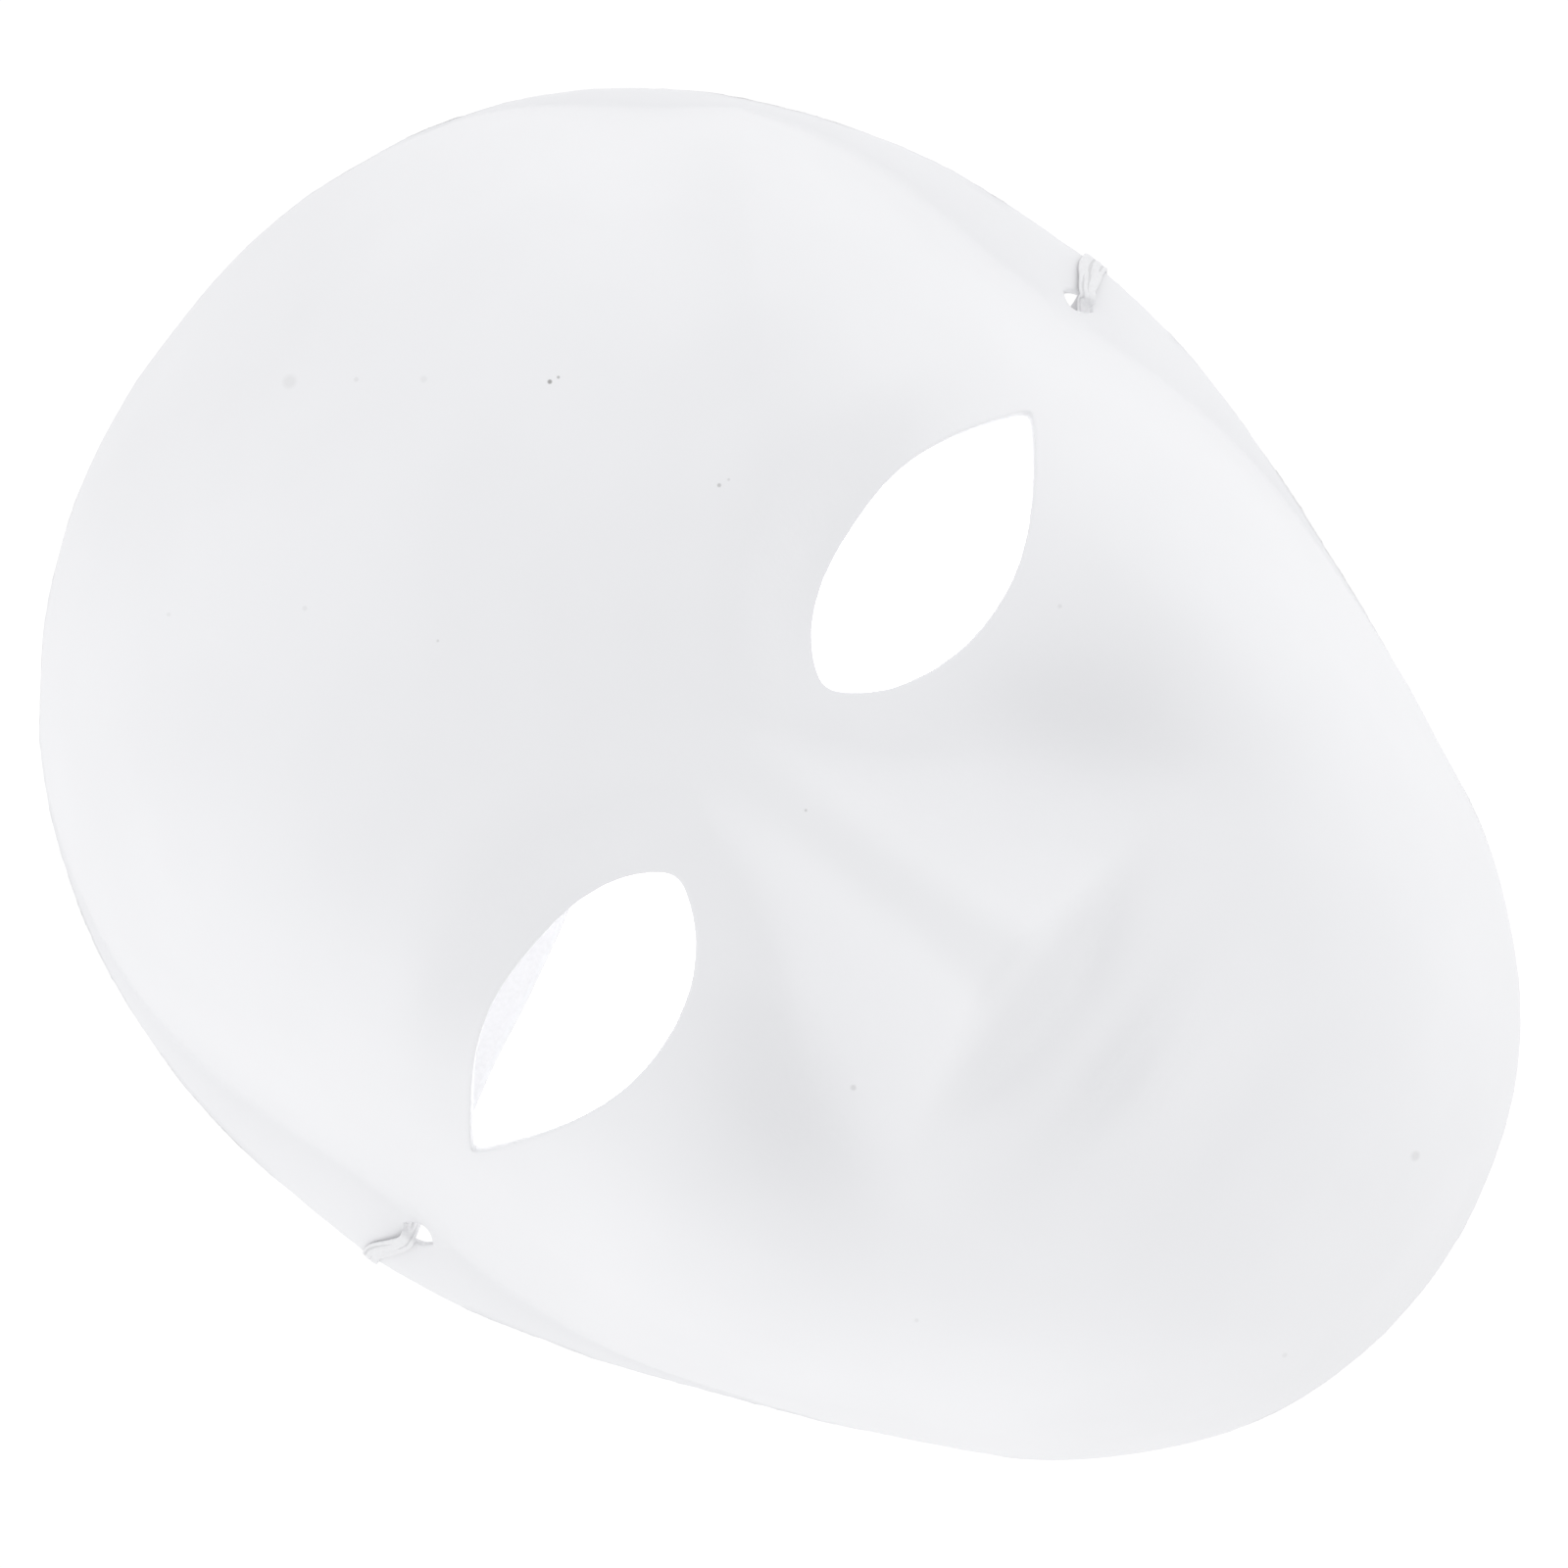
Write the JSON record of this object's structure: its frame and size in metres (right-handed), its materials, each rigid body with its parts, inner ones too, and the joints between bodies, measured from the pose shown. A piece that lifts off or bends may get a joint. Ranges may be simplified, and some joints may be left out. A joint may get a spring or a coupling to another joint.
{
  "type": "blank full-face mask",
  "caption": "Plain white moulded full-face mask with eye openings and a flat elastic tied through a slot at each temple.",
  "frame": {"origin": "middle of the rim plane, under the bridge of the nose", "axes": "+Z out of the face, +Y up to the forehead, +X to the right of someone looking at the face"},
  "size_m": [0.1816, 0.2296, 0.0744],
  "materials": {
    "moulded_pulp": "matt white, smooth outside",
    "braided_elastic": "white braided elastic"
  },
  "bodies": {
    "shell": {"mask_shell": "moulded_pulp", "left_strap_loop": "braided_elastic", "right_strap_loop": "braided_elastic", "left_strap_knot": "braided_elastic", "right_strap_knot": "braided_elastic"},
    "strap": {"elastic_strap": "braided_elastic"}
  },
  "joints": [
    {"name": "strap_swing", "type": "hinge", "parent": "shell", "child": "strap", "pos_m": [0, 0.012, 0.0025], "axis": [-1, 0, 0], "range_deg": [0, 150]}
  ]
}
